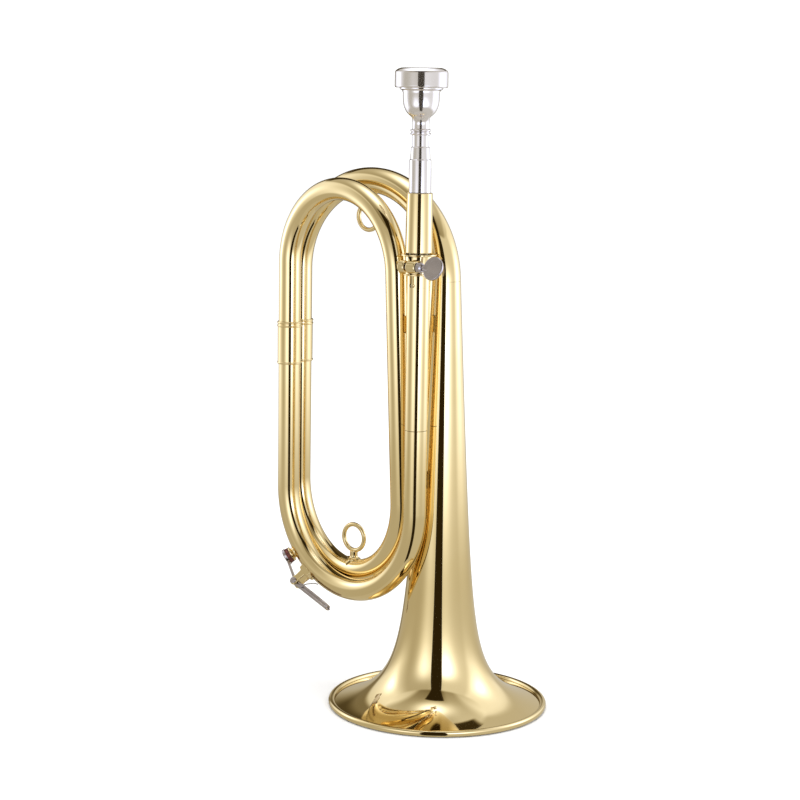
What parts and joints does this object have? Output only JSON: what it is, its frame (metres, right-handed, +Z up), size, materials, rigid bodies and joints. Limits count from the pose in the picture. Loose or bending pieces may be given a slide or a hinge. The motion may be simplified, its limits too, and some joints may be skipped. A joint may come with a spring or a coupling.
{
  "type": "bugle",
  "caption": "Valveless brass bugle in two oval coils that stands on its flared bell, with a silver cup mouthpiece, a clamped tuning slide, cord rings and a sprung water key.",
  "frame": {"origin": "centre of the bell mouth, in the plane that the bell rim stands on", "axes": "+Z up the bell's axis towards its stem; +X from the coils towards the bell; the lead pipe and the front coil lie to -Y of the bell"},
  "size_m": [0.1661, 0.117, 0.337],
  "materials": {
    "lacquered_brass": "polished and clear lacquered",
    "silver_plate": "polished silver plate",
    "nickel": "nickel plate",
    "cork": "waxed cork",
    "spring_steel": "blued wire"
  },
  "bodies": {
    "horn": {"bell_flange": "lacquered_brass", "bell_flare": "lacquered_brass", "bell_stem": "lacquered_brass", "bell_rim_wire": "lacquered_brass", "rear_top_bow": "lacquered_brass", "inner_bottom_bow": "lacquered_brass", "rear_ferrule": "lacquered_brass", "middle_tube": "lacquered_brass", "front_top_bow": "lacquered_brass", "front_ferrule": "lacquered_brass", "outer_bottom_bow": "lacquered_brass", "slide_sleeve": "lacquered_brass", "clamp_band": "lacquered_brass", "clamp_lug_tapped": "lacquered_brass", "clamp_lug_plain": "lacquered_brass", "cord_ring_low": "lacquered_brass", "cord_ring_low_foot": "lacquered_brass", "cord_ring_high": "lacquered_brass", "cord_ring_high_foot": "lacquered_brass", "water_nipple": "lacquered_brass", "water_key_saddle": "lacquered_brass", "water_key_hinge_screw": "nickel", "water_key_spring": "spring_steel", "stay_lead_middle_high": "lacquered_brass", "stay_lead_middle_low": "lacquered_brass", "stay_left_high": "lacquered_brass", "stay_left_low": "lacquered_brass", "stay_middle_bell": "lacquered_brass"},
    "tuning_slide": {"tuning_slide_tube": "lacquered_brass", "mouthpiece_receiver": "lacquered_brass"},
    "mouthpiece": {"mouthpiece": "silver_plate"},
    "thumb_screw": {"clamp_thumb_screw": "nickel"},
    "water_key": {"water_key_lever": "nickel", "water_key_cork_cup": "nickel", "water_key_cork": "cork"}
  },
  "joints": [
    {"name": "tuning_slide_pull", "type": "slide", "parent": "horn", "child": "tuning_slide", "axis": [0, 0, 1], "range_m": [0, 0.045]},
    {"name": "mouthpiece_pull", "type": "slide", "parent": "tuning_slide", "child": "mouthpiece", "axis": [0, 0, 1], "range_m": [0, 0.025]},
    {"name": "thumb_screw_turn", "type": "hinge", "parent": "horn", "child": "thumb_screw", "pos_m": [0.00639, -0.03395, 0.2375], "axis": [0.9848, 0.1736, 0], "range_deg": [0, 540]},
    {"name": "water_key_press", "type": "hinge", "parent": "horn", "child": "water_key", "pos_m": [-0.07797, -0.03293, 0.05728], "axis": [0.3326, -0.788, 0.5181], "range_deg": [0, 14], "stiffness_Nm_per_rad": 0.06, "springref_deg": -45.84}
  ]
}
